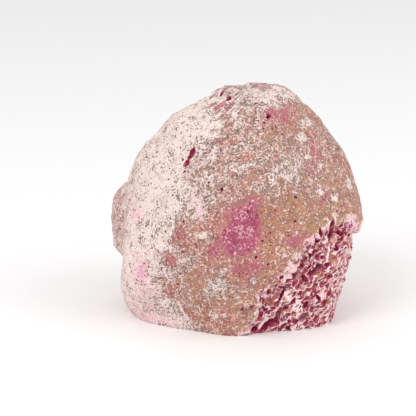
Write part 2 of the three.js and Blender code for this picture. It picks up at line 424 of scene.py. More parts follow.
    def rind_radius(self, directions: Array) -> Array:
        """The rind as if nothing had broken off.

        Args:
            directions: unit directions from the heart, one a row.

        Returns:
            The radius in each direction.
        """
        across = np.hypot(directions[:, 0], directions[:, 1])
        depth = np.where(directions[:, 2] > 0.0, self.front_depth, self.back_depth)
        outline = self.girdle_radius(np.arctan2(directions[:, 1], directions[:, 0]))
        bulk = (across / outline) ** self.roundness + (np.abs(directions[:, 2]) / depth) ** self.roundness
        radius = bulk ** (-1.0 / self.roundness)
        for flat in self.flats:
            toward = directions @ (np.array(flat.facing) / np.linalg.norm(flat.facing))
            reach = np.where(toward > GRAZING, flat.distance / np.maximum(toward, GRAZING), FAR)
            radius = soft_min(radius, reach, self.flat_blend)
        for lump in self.lumps:
            radius = soft_max(radius, self.lump_radius(lump, directions), lump.blend)
        return radius + self.unevenness(directions * radius[:, None])

    def inside_break(self, points: Array) -> Array:
        """How far the rind lies inside the break.

        Args:
            points: places on the rind, one a row.

        Returns:
            The distance for each place, in millimetres, less than 0 where the rind is whole.
        """
        facing = np.array(self.break_facing) / np.linalg.norm(self.break_facing)
        inside = points @ facing - self.break_distance
        for bay in self.break_bays:
            away = np.linalg.norm(points - np.array(bay.at), axis=1) / bay.width
            inside = inside + bay.reach * np.exp(-away * away)
        return inside + self.break_ragged * quilt(points[:, 0], points[:, 1], self.break_ragged_pitch)

    def surface(self, directions: Array) -> tuple[Array, Array]:
        """The stone's surface with the rind gone in the break.

        Args:
            directions: unit directions from the heart, one a row.

        Returns:
            The radius in each direction, and how far each lies inside the break.
        """
        rind = self.rind_radius(directions)
        points = directions * rind[:, None]
        inside = self.inside_break(points)
        gone = smooth_step(-self.rind_edge / 2.0, self.rind_edge / 2.0, inside)
        x, y, z = points.T
        relief = quilt(x + 0.5 * z, y - 0.6 * z, self.break_relief_pitch)
        return rind - gone * (self.rind_thickness + self.break_relief * relief), inside

    def front_points(self, places: Array) -> Array:
        """The points of the surface that hide places in the plane of side and rise from the viewpoint.

        Args:
            places: side and rise of each place, one a row.

        Returns:
            The points, one a row.
        """
        flat = np.column_stack([places, np.zeros(len(places))])
        viewpoint = np.array([0.0, 0.0, self.viewpoint])
        near = np.zeros((len(places), 1))
        far = near + 2.0 * self.front_depth / self.viewpoint
        while (far - near).max() > CLOSE:
            middle = (near + far) / 2.0
            points = flat + (viewpoint - flat) * middle
            inside = (np.linalg.norm(points, axis=1) < self.surface(unit(points))[0])[:, None]
            near = np.where(inside, middle, near)
            far = np.where(inside, far, middle)
        return flat + (viewpoint - flat) * near

    def seen(self, points: Array) -> Array:
        """Where each point looks to be from the viewpoint, in the plane of side and rise."""
        return points[:, :2] / (1.0 - points[:, 2:] / self.viewpoint)

    def facing(self, points: Array) -> Array:
        """The way the rind faces, from how its radius changes a millimetre away.

        Args:
            points: places on the rind, one a row.

        Returns:
            A unit direction for each place.
        """
        slopes = []
        for step in np.eye(3):
            ends = []
            for nearby in (points + step, points - step):
                ends.append(np.linalg.norm(nearby, axis=1) - self.rind_radius(unit(nearby)))
            slopes.append(ends[0] - ends[1])
        return unit(np.column_stack(slopes))


# ---- Hollows ---------------------------------------------------------------------------------------


@dataclass(frozen=True)
class Sweep:
    """One round of random hollows over the break.

    It tries a number of places. A hollow takes one that is at least an inset inside the break and clear
    of its neighbours by a gap, which is a share of both their lengths.
    """

    places: Seed
    shapes: Seed
    tries: int
    lengths: Span
    gap: float
    inset: float


@dataclass(frozen=True)
class Cast:
    """One cast in its place, with the seed of its shape. A placed one keeps its shape as it is seen."""

    point: Array
    size: Point
    turn: float
    seed: int
    stain: Stain
    placed: bool = False


@dataclass
class HollowCasts:
    """The casts of the crystals that left the hollows, each a flat-faced wedge, ready to be cut out."""

    form: StoneForm
    break_hollows: tuple[Hollow, ...] = (
        Hollow((12.2, -43.6), (10.2, 3.4, 4.4), 34), Hollow((6.5, -45.8), (3.4, 2.6, 2.8), 40),
        Hollow((17.0, -32.5), (8.8, 1.3, 2.6), 66), Hollow((12.6, -34.9), (5.2, 3.8, 2.2), -20, Stain.TAN),
        Hollow((10.7, -37.6), (4.6, 1.3, 2.2), -51), Hollow((8.7, -40.3), (4.0, 3.2, 2.4), 70, Stain.WINE),
        Hollow((26.7, -25.2), (4.6, 2.2, 2.8), -54), Hollow((28.7, -16.5), (4.0, 1.7, 2.4), 72),
        Hollow((31.7, -16.6), (2.6, 2.3, 2.0), 10, Stain.WINE),
        Hollow((38.6, -17.8), (5.6, 4.6, 2.6), -28, Stain.TAN), Hollow((35.8, -19.9), (3.0, 2.2, 2.8), 30),
        Hollow((39.7, -13.4), (3.6, 2.8, 3.0), 60), Hollow((42.8, -11.2), (5.0, 2.4, 2.2), -8, Stain.TAN),
        Hollow((41.0, -7.2), (4.8, 2.4, 3.0), -28), Hollow((37.2, -5.0), (6.0, 2.0, 2.8), 74),
        Hollow((31.0, -10.2), (4.4, 2.0, 2.4), 15), Hollow((26.2, -40.7), (4.8, 3.8, 2.2), 40, Stain.MAUVE),
        Hollow((26.9, -36.2), (4.8, 2.3, 2.6), 62, Stain.WINE), Hollow((32.2, -33.3), (3.8, 1.9, 2.2), -50),
        Hollow((21.9, -34.5), (3.6, 1.8, 2.2), 40), Hollow((31.5, -41.8), (5.0, 2.3, 2.8), 42, Stain.WINE),
        Hollow((20.2, -45.6), (3.0, 2.2, 2.4), 80), Hollow((32.2, -21.0), (4.6, 3.6, 3.0), 45, Stain.MAUVE),
        Hollow((36.4, -31.6), (4.0, 2.6, 2.6), 60, Stain.WINE),
        Hollow((36.8, -24.6), (3.8, 2.0, 2.4), 60, Stain.WINE), Hollow((39.0, -34.4), (4.6, 1.4, 2.2), 76),
        Hollow((17.2, -24.8), (2.8, 1.8, 1.6), 30), Hollow((41.8, -9.0), (8.0, 1.0, 2.4), 28),
        Hollow((33.0, -7.4), (4.8, 1.9, 2.4), 108, Stain.WINE),
        Hollow((45.2, -12.4), (4.4, 2.4, 2.6), 80, Stain.WINE),
    )
    rind_hollows: tuple[Hollow, ...] = (
        Hollow((-18.5, 25.3), (5.0, 2.6, 1.9), 68), Hollow((-19.6, 23.0), (3.0, 2.0, 1.4), 40),
        Hollow((-20.7, 20.9), (3.8, 2.4, 1.7), 55), Hollow((-6.4, 48.4), (3.2, 1.4, 1.6), 60),
        Hollow((-3.6, 46.7), (3.0, 1.9, 2.0), 60), Hollow((-7.0, 44.1), (6.8, 2.2, 1.1), 32, Stain.ROSE),
        Hollow((12.0, 39.7), (2.8, 2.2, 2.0), 70), Hollow((-23.6, -6.0), (5.4, 3.8, 0.9), -25, Stain.WORN),
        Hollow((-28.2, -17.4), (5.6, 4.4, 0.7), -60, Stain.WORN),
    )
    pinholes: tuple[Span, ...] = (
        (-12.0, 13.2), (-6.8, 10.4), (-5.6, -6.0), (-22.0, -2.4), (20.4, 1.6), (34.0, 6.4), (24.0, 11.2),
        (35.6, 30.0), (3.6, 1.6), (10.8, -8.8), (6.8, -16.8), (14.4, 2.0), (11.6, -19.6), (-22.0, -14.8),
        (-26.8, -31.2), (-9.2, 37.6), (10.0, 34.8), (22.4, -2.4), (1.6, -37.6), (6.8, -23.6),
        (-17.6, -15.6), (10.4, 37.0), (7.2, 44.8), (0.0, 40.8), (9.4, -10.2), (12.6, -7.0),
        (-18.8, 28.8), (-17.0, 23.6), (-21.6, 17.6), (-20.2, 26.0), (-22.2, 22.2), (-19.2, 19.0),
    )
    pinhole_length: Span = (0.9, 1.6)
    pinhole_width: Span = (0.5, 0.95)
    pinhole_depth: float = 0.8
    pinhole_inset: float = -2.0
    strewn_pinholes: int = 46
    sweeps: tuple[Sweep, ...] = (
        Sweep(Seed.LARGE_PLACES, Seed.LARGE_SHAPES, 420, (3.6, 7.0), 0.3, 1.0),
        Sweep(Seed.SMALL_PLACES, Seed.SMALL_SHAPES, 2600, (1.8, 4.2), 0.26, -1.4),
    )
    sweep_ways: tuple[Span, Span, Span] = ((-0.2, 1.0), (-1.0, 0.1), (-1.0, 1.0))
    strewn_width: Span = (0.3, 0.6)
    strewn_depth: Span = (0.35, 0.58)
    strewn_turn: Span = (15.0, 80.0)
    mouth_corners: int = 5
    mouth_lift: float = 1.2
    mouth_scale: float = 1.45
    mouth_spread: Span = (0.82, 1.12)
    mouth_jitter: float = 0.25
    floor_corners: int = 3
    floor_scale: float = 0.5
    floor_spread: Span = (0.6, 1.3)
    floor_depth: Span = (0.7, 1.0)
    floor_jitter: float = 0.2
    axis_tilt: float = 0.3
    least_fronting: float = 0.45
    widest_corner: float = 0.6
    casts: list[Cast] = field(default_factory=list)

    def place_all(self) -> None:
        """Places every hollow: those with a place of their own first, then the strewn ones."""
        own = self.break_hollows + self.rind_hollows
        points = self.form.front_points(np.array([hollow.at for hollow in own]))
        for seed, (hollow, point) in enumerate(zip(own, points), Seed.OWN_SHAPES):
            turn = math.radians(hollow.turn)
            self.casts.append(Cast(point, hollow.size, turn, seed, hollow.stain, placed=True))
        for sweep in self.sweeps:
            self.strew(sweep)
        self.prick()

    def strew(self, sweep: Sweep) -> None:
        """Places hollows at random over the break, wherever those before them leave room.

        Args:
            sweep: how many places to try, and how large and how far apart the hollows are.
        """
        draw = Draw(sweep.places)
        directions, sizes, turns = [], [], []
        for _ in range(sweep.tries):
            directions.append([draw(*way) for way in self.sweep_ways])
            length = draw(*sweep.lengths)
            sizes.append((length, length * draw(*self.strewn_width), length * draw(*self.strewn_depth)))
            turns.append(math.radians(draw(*self.strewn_turn)))
        ways = unit(np.array(directions))
        radius, inside = self.form.surface(ways)
        points = ways * radius[:, None]
        heights = self.form.to_part(points)[:, 2]
        seed = int(sweep.shapes)
        for i in np.flatnonzero((inside > sweep.inset) & (heights > 0.0)):
            away = np.linalg.norm(np.array([cast.point for cast in self.casts]) - points[i], axis=1)
            room = sweep.gap * (sizes[i][0] + np.array([cast.size[0] for cast in self.casts]))
            if (away > room).all():
                self.casts.append(Cast(points[i], sizes[i], turns[i], seed, Stain.MIXED))
                seed += 1

    def prick(self) -> None:
        """Pricks the whole rind with crimson pinholes, some in their own places and some at random."""
        draw = Draw(Seed.PINHOLE_PLACES)
        ways = unit(np.array([[draw(-1.0, 1.0) for _ in range(3)] for _ in range(self.strewn_pinholes)]))
        radius, inside = self.form.surface(ways)
        points = (ways * radius[:, None])[inside < self.pinhole_inset]
        places = self.form.front_points(np.array(self.pinholes))
        for seed, point in enumerate([*places, *points], Seed.PINHOLE_SHAPES):
            length = draw(*self.pinhole_length)
            size = (length, length * draw(*self.pinhole_width), self.pinhole_depth * length)
            self.casts.append(Cast(point, size, draw(0.0, math.pi), seed, Stain.CRIMSON))

    def seen_along(self, angle: float, facing: Array) -> Array:
        """Finds the step along the rind that looks like 1 from the viewpoint.

        Args:
            angle: the step's angle as it is seen, from side to rise, in radians.
            facing: the way the rind faces.

        Returns:
            The step.
        """
        x, y = math.cos(angle), math.sin(angle)
        slope = (x * facing[0] + y * facing[1]) / max(facing[2], self.least_fronting)
        return np.array([x, y, -slope])

    def corners(self, cast: Cast, facing: Array) -> Array:
        """The corners of one cast: a wide ring at its mouth and a narrow one at its floor.

        Args:
            cast: the cast.
            facing: the way the rind faces there.

        Returns:
            The corners in the part, in millimetres, one a row.
        """
        length, width, depth = cast.size
        draw = Draw(cast.seed)
        if cast.placed:
            run, across = [self.seen_along(turn, facing) for turn in (cast.turn, cast.turn + math.pi / 2.0)]
        else:
            run = np.array([math.cos(cast.turn), math.sin(cast.turn), 0.0])
            run -= facing * (run @ facing)
            run /= np.linalg.norm(run)
            across = np.cross(facing, run)
        lean = (draw(-self.axis_tilt, self.axis_tilt), draw(-self.axis_tilt, self.axis_tilt))
        rings = []
        for i in range(self.mouth_corners):
            angle = 2.0 * math.pi * (i + draw(-self.mouth_jitter, self.mouth_jitter)) / self.mouth_corners
            rings.append((angle, self.mouth_scale * draw(*self.mouth_spread), self.mouth_lift))
        start = draw(0.0, 2.0 * math.pi)
        for i in range(self.floor_corners):
            angle = 2.0 * math.pi * (i + draw(-self.floor_jitter, self.floor_jitter)) / self.floor_corners
            spread = self.floor_scale * draw(*self.floor_spread)
            rings.append((start + angle, spread, -depth * draw(*self.floor_depth)))
        corners = []
        for angle, spread, height in rings:
            along = length / 2.0 * spread * math.cos(angle) + lean[0] * height
            aside = width / 2.0 * spread * math.sin(angle) + lean[1] * height
            corners.append(cast.point + run * along + across * aside + facing * height)
        return self.form.to_part(np.array(corners))

    def batches(self) -> list[list[int]]:
        """Sorts the hollows into as few groups as may be, so that each group can be cut out at once.

        Returns:
            For each group, the places of its casts in the list. No two of them meet.
        """
        lengths = np.array([cast.size[0] for cast in self.casts])
        reach = lengths * self.mouth_scale * self.widest_corner + self.mouth_lift
        points = np.array([cast.point for cast in self.casts])
        groups: list[list[int]] = []
        for i, point in enumerate(points):
            for group in groups:
                away = np.linalg.norm(points[group] - point, axis=1)
                if (away > reach[group] + reach[i]).all():
                    group.append(i)
                    break
            else:
                groups.append([i])
        return groups

    def build(self) -> list[bpy.types.Mesh]:
        """Builds the casts, and gives each of their faces a tone from its hollow's stain.

        Returns:
            Meshes of casts that don't meet, in metres.
        """
        self.place_all()
        facings = self.form.facing(np.array([cast.point for cast in self.casts]))
        meshes = []
        for group in self.batches():
            shape = bmesh.new()
            tone = shape.faces.layers.float.new(Mask.TONE.value)
            for index in group:
                corners = self.corners(self.casts[index], facings[index]) * MM
                verts = [shape.verts.new(corner) for corner in corners]
                hull = bmesh.ops.convex_hull(shape, input=verts)
                spare = [item for item in hull["geom_interior"] if isinstance(item, bmesh.types.BMVert)]
                bmesh.ops.delete(shape, geom=spare, context="VERTS")
                draw = Draw(Seed.TONES + index)
                for face in shape.faces:
                    face[tone] = face[tone] or draw(*self.casts[index].stain.value)
            bmesh.ops.recalc_face_normals(shape, faces=shape.faces)
            for face in shape.faces:
                face.material_index = Finish.RIND if face[tone] < 0.0 else Finish.LINING
            meshes.append(meshed(shape, "casts"))
        LOG.info("hollows: %d, cut in %d groups", len(self.casts), len(meshes))
        return meshes


# ---- Finishes --------------------------------------------------------------------------------------


def linear(colour: str) -> tuple[float, float, float, float]:
    """Turns an sRGB colour into the linear values that shaders use.

    Args:
        colour: such as "#c0a080".

    Returns:
        Red, green, blue and opacity, each from 0 to 1.
    """
    channels = [int(colour[i : i + 2], 16) / 255.0 for i in (1, 3, 5)]
    red, green, blue = [c / 12.92 if c <= 0.04045 else ((c + 0.055) / 1.055) ** 2.4 for c in channels]
    return (red, green, blue, 1.0)


def add(tree: Tree, kind: str, inputs: dict[Any, Any], **settings: Any) -> bpy.types.Node:
    """Adds a node to a tree.

    Args:
        tree: the material's node tree.
        kind: the node's type, without the ShaderNode that every one of them starts with.
        inputs: for each socket, by name or place, the output to link to it or the value to set on it.
        settings: the node's own settings.

    Returns:
        The node.
    """
    node = tree.nodes.new("ShaderNode" + kind)
    for name, value in settings.items():
        setattr(node, name, value)
    for name, value in inputs.items():
        if isinstance(value, bpy.types.NodeSocket):
            tree.links.new(value, node.inputs[name])
        else:
            node.inputs[name].default_value = value
    return node


def new_material(name: str, **values: Any) -> tuple[bpy.types.Material, bpy.types.Node]:
    """Makes a material with nothing but its shader.

    Args:
        name: what the real material is.
        values: what to set on the shader's sockets, with _ for the spaces in their names.

    Returns:
        The material and its Principled shader, already linked to the output.
    """
    material = bpy.data.materials.new(name)
    material.use_nodes = True
    tree = material.node_tree
    tree.nodes.clear()
    inputs = {socket.replace("_", " "): value for socket, value in values.items()}
    shader = add(tree, "BsdfPrincipled", inputs)
    add(tree, "OutputMaterial", {"Surface": shader.outputs["BSDF"]})
    return material, shader


def speckle(tree: Tree, pitch: float, shift: float, detail: float = 3.0) -> bpy.types.NodeSocket:
    """Adds noise of one size, fixed to the stone.

    Args:
        tree: the material's node tree.
        pitch: the size of its largest features, in millimetres.
        shift: how far it is moved, in metres, so that no two noises match.
        detail: how many finer sizes lie over the first.

    Returns:
        The noise, from 0 to 1.
    """
    place = add(tree, "TexCoord", {}).outputs["Object"]
    moved = add(tree, "VectorMath", {0: place, 1: (shift, -shift, 2.0 * shift)}).outputs[0]
    scale = 1.0 / (pitch * MM)
    sizes = {"Vector": moved, "Scale": scale, "Detail": detail, "Roughness": SPECKLE_ROUGHNESS}
    return add(tree, "TexNoise", sizes).outputs["Fac"]


class Grain(Enum):
    """The two ways that a coat breaks up: into grains, or into thin curling wisps."""

    GRAINS = "grains"
    WISPS = "wisps"


@dataclass(frozen=True)
class Coat:
    """One kind of stain, dust or fleck that lies over a surface in broken patches.

    Its grains are about as large as pitch, in millimetres. They crowd together in clumps and where the
    mask is strong. There are none of them where that sum is below thin, and it is all covered above full.
    """

    colour: str
    pitch: float
    thin: float
    full: float
    cover: float = 1.0
    mask: Mask | None = None
    lift: float = 0.0
    clump: float = 0.0
    clump_pitch: float = 5.0
    shift: float = 0.0
    detail: float = 3.0
    grain: Grain = Grain.GRAINS

    def lay(self, tree: Tree, under: Any) -> tuple[Any, Any]:
        """Adds the nodes that lay this coat over a colour.

        Args:
            tree: the material's node tree.
            under: the colour beneath it.

        Returns:
            The colour with the coat on it, and how much of the coat there is.
        """
        height = speckle(tree, self.pitch, self.shift, self.detail)
        if self.grain is Grain.WISPS:
            off = add(tree, "Math", {0: height, 1: 0.5}, operation="SUBTRACT").outputs[0]
            away = add(tree, "Math", {0: off}, operation="ABSOLUTE").outputs[0]
            height = add(tree, "Math", {0: 1.0, 1: away}, operation="SUBTRACT").outputs[0]
        if self.clump:
            crowd = speckle(tree, self.clump_pitch, self.shift + CLUMP_SHIFT, self.detail)
            sums = {0: crowd, 1: self.clump, 2: -0.5 * self.clump}
            centred = add(tree, "Math", sums, operation="MULTIPLY_ADD").outputs[0]
            height = add(tree, "Math", {0: height, 1: centred}).outputs[0]
        if self.mask:
            weight = add(tree, "Attribute", {}, attribute_name=self.mask.value).outputs["Fac"]
            sums = {0: weight, 1: self.lift, 2: height}
            height = add(tree, "Math", sums, operation="MULTIPLY_ADD").outputs[0]
        ends = {"Value": height, "From Min": self.thin, "From Max": self.full, "To Max": self.cover}
        share = add(tree, "MapRange", ends, interpolation_type="SMOOTHSTEP").outputs[0]
        mix = {0: share, 6: under, 7: linear(self.colour)}
        return add(tree, "Mix", mix, data_type="RGBA").outputs[2], share


@dataclass(frozen=True)
class StainedQuartz:
    """The quartz of the break: iron has stained its flat faces, and its thin ridges are chipped bare.

    Each face has a tone of its own, so the eye reads separate crystals. They are glassy, and their crimson
    iron stain is darkened with depth down in the hollows, as painted shade. The chipped ridges are pale and
    matt. Depths are in millimetres.
    """

    stains: tuple[tuple[Stain, str], ...] = (
        (Stain.CRIMSON, "#a0194a"),
        (Stain.WINE, "#b5425f"),
        (Stain.ROSE, "#c5777d"),
        (Stain.TAN, "#c88a75"),
        (Stain.MAUVE, "#a66b7d"),
        (Stain.PALE, "#e6b0ae"),
    )
    # painted shade: the crimson stain darkens to this colour with depth, standing in for the shade down in
    # the hollows
    deep: str = "#850d3b"
    ridge: str = "#fce4e2"
    ridge_depth: Span = (0.16, 0.36)
    ridge_wander: float = 0.5
    shade_depth: Span = (0.9, 3.4)
    shade_cover: float = 0.8
    coats: tuple[Coat, ...] = (
        Coat("#c45c74", 4.0, 0.50, 0.72, 0.35, shift=0.53),
        Coat("#f3c6c8", 0.9, 0.60, 0.68, 0.45, shift=0.59, detail=1.0),
        Coat("#b98a72", 3.0, 0.62, 0.70, 0.35, shift=0.61),
        Coat("#8a1a3e", 0.8, 0.64, 0.70, 0.70, shift=0.67, detail=1.0),
    )
    chip: float = 0.9  # real chips and etch pits are under 0.3 mm; drawn coarser so that they show
    chip_shift: float = 0.77
    etch_shift: float = 0.71
    etch_depth: float = 0.08
    etch_strength: float = 0.6
    roughness: float = 0.4
    ridge_roughness: float = 0.85
    ior: float = 1.54

    def lay(self, tree: Tree) -> tuple[Any, Any]:
        """Adds the nodes of the quartz's look.

        Args:
            tree: the material's node tree.

        Returns:
            Its colour and its roughness.
        """
        tone, depth, broken = [
            add(tree, "Attribute", {}, attribute_name=mask.value).outputs["Fac"]
            for mask in (Mask.TONE, Mask.DEPTH, Mask.BROKEN)
        ]
        ramp = add(tree, "ValToRGB", {"Fac": tone})
        ramp.color_ramp.interpolation = "CONSTANT"
        for stain, colour in self.stains[2:]:
            ramp.color_ramp.elements.new(stain.value[0])
        for element, (stain, colour) in zip(ramp.color_ramp.elements, self.stains):
            element.position = stain.value[0]
            element.color = linear(colour)
        # painted shade: the deeper a point lies in a hollow, the more of the dark crimson it gets
        shallow, deep = self.shade_depth
        ends = {"Value": depth, "From Min": shallow, "From Max": deep, "To Max": self.shade_cover}
        share = add(tree, "MapRange", ends).outputs[0]
        mix = {0: share, 6: ramp.outputs["Color"], 7: linear(self.deep)}
        colour = add(tree, "Mix", mix, data_type="RGBA").outputs[2]
        chips = speckle(tree, self.chip, self.chip_shift, 1.0)
        sums = {0: chips, 1: self.ridge_wander, 2: depth}
        edge = add(tree, "Math", sums, operation="MULTIPLY_ADD").outputs[0]
        low, high = [end + self.ridge_wander / 2.0 for end in self.ridge_depth]
        ends = {"Value": edge, "From Min": low, "From Max": high, "To Min": 1.0, "To Max": 0.0}
        proud = add(tree, "MapRange", ends).outputs[0]
        bared = add(tree, "Math", {0: proud, 1: broken}, operation="MULTIPLY").outputs[0]
        mix = {0: bared, 6: colour, 7: linear(self.ridge)}
        colour = add(tree, "Mix", mix, data_type="RGBA").outputs[2]
        for coat in self.coats:
            colour, _ = coat.lay(tree, colour)
        ends = {"Value": bared, "To Min": self.roughness, "To Max": self.ridge_roughness}
        return colour, add(tree, "MapRange", ends).outputs[0]

    def material(self) -> bpy.types.Material:
        """Builds the material.

        Returns:
            The material.
        """
        material, shader = new_material("iron_stained_quartz", IOR=self.ior)
        tree = material.node_tree
        colour, rough = self.lay(tree)
        tree.links.new(colour, shader.inputs["Base Color"])
        tree.links.new(rough, shader.inputs["Roughness"])
        etch = speckle(tree, self.chip, self.etch_shift)
        heights = {"Height": etch, "Strength": self.etch_strength, "Distance": self.etch_depth * MM}
        tree.links.new(add(tree, "Bump", heights).outputs[0], shader.inputs["Normal"])
        return material


@dataclass(frozen=True)
class ChalkyRind:
    """Weathered agate rind: iron-stained chalcedony under a broken dusting of chalk and clay.

    The stained stone gives the eye tan, honey and rose with a faint waxy sheen. The dust lies on it in
    salt-like grains, dead matt and nearly white, and stands up from it a little. Real grains of dust are
    under 0.2 mm across. They are drawn at 0.7 mm or coarser, so that they show at arm's length.
    """

    quartz: StainedQuartz
    ground: str = "#b07a6b"
    stains: tuple[Coat, ...] = (
        Coat("#b07f58", 5.0, 0.56, 0.84, 0.85, Mask.HONEY, 0.36, shift=0.03),
        Coat("#93574c", 4.5, 0.50, 0.66, 0.60, shift=0.04),
        Coat("#955a4f", 2.0, 0.52, 0.68, 0.50, shift=0.05),
        Coat("#703732", 0.8, 0.51, 0.61, 0.85, Mask.HONEY, -0.11, 0.45, 3.2, 0.06, 1.5),
        Coat("#e9bfb4", 0.8, 0.52, 0.60, 0.85, Mask.HONEY, -0.12, 0.45, 3.6, 0.08, 1.5),
        Coat("#bc896c", 0.9, 0.58, 0.70, 0.55, shift=0.07),
        Coat("#b4606a", 4.0, 0.54, 1.08, 0.85, Mask.ROSE, 0.52, shift=0.11),
        Coat("#b04b6d", 2.4, 0.76, 1.18, 0.84, Mask.ROSE, 0.50, 0.70, 4.0, 0.12),
        Coat("#a0355f", 0.8, 1.02, 1.12, 0.75, Mask.ROSE, 0.50, shift=0.13, detail=2.0),
        Coat("#7e2a44", 0.8, 0.82, 0.88, 0.70, Mask.ROSE, 0.25, shift=0.15, detail=1.0),
        Coat("#e8a6b6", 0.8, 0.83, 0.95, 0.85, Mask.ROSE, 0.25, 0.70, 2.8, 0.17, 2.0),
        Coat("#856d63", 2.2, 0.60, 0.84, 0.90, Mask.CHALK, 0.50, shift=0.02),
    )
    dusts: tuple[Coat, ...] = (
        Coat("#bd9f92", 1.2, 0.67, 0.94, 0.55, Mask.CHALK, 0.36, 0.5, 4.0, 0.19),
        Coat("#dcc6be", 0.8, 0.71, 0.76, 0.96, Mask.CHALK, 0.38, 0.6, 3.0, 0.23, 1.5),
        Coat("#ecdbd4", 0.8, 0.79, 0.86, 0.90, Mask.CHALK, 0.40, 0.6, 3.0, 0.29, 1.5),
    )
    flecks: tuple[Coat, ...] = (
        Coat("#e6bcbe", 2.0, 0.78, 1.06, 0.70, Mask.BLUSH, 0.55, 0.0, 5.0, 0.31),
        Coat("#d9809c", 0.9, 0.98, 1.06, 0.70, Mask.BLUSH, 0.45, 0.4, 2.5, 0.32, 1.5),
        Coat("#f3d8d6", 0.8, 0.90, 1.00, 0.85, Mask.BLUSH, 0.50, 0.3, 3.0, 0.33, 1.5),
        Coat("#e38fb6", 1.2, 1.04, 1.18, 0.65, Mask.BLUSH, 0.50, shift=0.35, detail=2.0),
        Coat("#e6cfc8", 1.6, 0.66, 0.71, 0.85, Mask.ROSE, -0.10, 0.3, 9.0, 0.37),
        Coat("#e9d2ca", 2.0, 1.015, 1.025, 0.85, Mask.ROSE, -0.06, 0.50, 1.2, 0.39, 1.0, Grain.WISPS),
        Coat("#7a645d", 0.7, 0.79, 0.86, 0.90, Mask.CHALK, 0.16, 0.70, 4.0, 0.41, 0.5),
        Coat("#7f1935", 0.9, 0.74, 0.77, 0.90, None, 0.0, 0.2, 9.0, 0.47, 0.0),
    )
    roughness_bare: float = 0.5
    roughness_dusty: float = 0.95
    grit: float = 0.5
    grit_shift: float = 0.73
    grit_height: float = 0.16
    grit_strength: float = 0.8
    dust_height: float = 0.10

    def material(self) -> bpy.types.Material:
        """Builds the material.

        Returns:
            The material.
        """
        material, shader = new_material("weathered_agate_rind", IOR=self.quartz.ior)
        tree = material.node_tree
        colour: Any = linear(self.ground)
        for coat in self.stains:
            colour, _ = coat.lay(tree, colour)
        dust: Any = 0.0
        for coat in self.dusts:
            colour, share = coat.lay(tree, colour)
            dust = add(tree, "Math", {0: share, 1: dust}, operation="MAXIMUM").outputs[0]
        for coat in self.flecks:
            colour, _ = coat.lay(tree, colour)
        ends = {"Value": dust, "To Min": self.roughness_bare, "To Max": self.roughness_dusty}
        rough = add(tree, "MapRange", ends).outputs[0]
        bare, bare_rough = self.quartz.lay(tree)
        broken = add(tree, "Attribute", {}, attribute_name=Mask.BROKEN.value).outputs["Fac"]
        colour = add(tree, "Mix", {0: broken, 6: colour, 7: bare}, data_type="RGBA").outputs[2]
        rough = add(tree, "Mix", {0: broken, 2: rough, 3: bare_rough}).outputs[0]
        tree.links.new(colour, shader.inputs["Base Color"])
        tree.links.new(rough, shader.inputs["Roughness"])
        grit = speckle(tree, self.grit, self.grit_shift)
        sums = {0: dust, 1: self.dust_height / self.grit_height, 2: grit}
        height = add(tree, "Math", sums, operation="MULTIPLY_ADD").outputs[0]
        heights = {"Height": height, "Strength": self.grit_strength, "Distance": self.grit_height * MM}
        tree.links.new(add(tree, "Bump", heights).outputs[0], shader.inputs["Normal"])
        return material


@dataclass(frozen=True)
class SawnFace:
    """The sawn foot: agate cut by a diamond saw and left unpolished, so fine grooves cross its bands."""

    ground: str = "#c9a596"
    coats: tuple[Coat, ...] = (
        Coat("#b57f74", 14.0, 0.46, 0.62, 0.8, shift=0.83),
        Coat("#ecd6cc", 5.0, 0.54, 0.62, 0.8, shift=0.89),
    )
    roughness: float = 0.6
    groove: float = 0.9  # real grooves are under 0.2 mm apart; drawn coarser so that they show
    groove_height: float = 0.05
    groove_strength: float = 0.3
    waver: float = 0.6
    ior: float = 1.54

    def material(self) -> bpy.types.Material:
        """Builds the material.

        Returns:
            The material.
        """
        material, shader = new_material("sawn_agate", Roughness=self.roughness, IOR=self.ior)
        tree = material.node_tree
        colour: Any = linear(self.ground)
        for coat in self.coats:
            colour, _ = coat.lay(tree, colour)
        tree.links.new(colour, shader.inputs["Base Color"])
        place = add(tree, "TexCoord", {}).outputs["Object"]
        scale = 1.0 / (self.groove * MM * 2.0 * math.pi)
        waves = {"Vector": place, "Scale": scale, "Distortion": self.waver}
        grooves = add(tree, "TexWave", waves).outputs["Fac"]
        heights = {"Height": grooves, "Strength": self.groove_strength, "Distance": self.groove_height * MM}
        tree.links.new(add(tree, "Bump", heights).outputs[0], shader.inputs["Normal"])
        return material


@dataclass(frozen=True)
class SeamlessPaper:
    """Matt white paper for the studio's floor."""

    colour: str = "#fbfafa"
    roughness: float = 0.9

    def material(self) -> bpy.types.Material:
        """Builds the material.

        Returns:
            The material.
        """
        values = {"Base_Color": linear(self.colour), "Roughness": self.roughness}
        return new_material("seamless_paper", **values)[0]


# ---- The stone -------------------------------------------------------------------------------------


@dataclass(frozen=True)
class Patch:
    """A place where a weight is raised or lowered, as it looks from the viewpoint."""

    at: Span
    half: Span
    strength: float
    turn: float = 0.0


@dataclass(frozen=True)
class Crease:
    """A fine raised line with a groove beside it, between two places as they look from the viewpoint."""

    start: Span
    end: Span
    width: float
    height: float


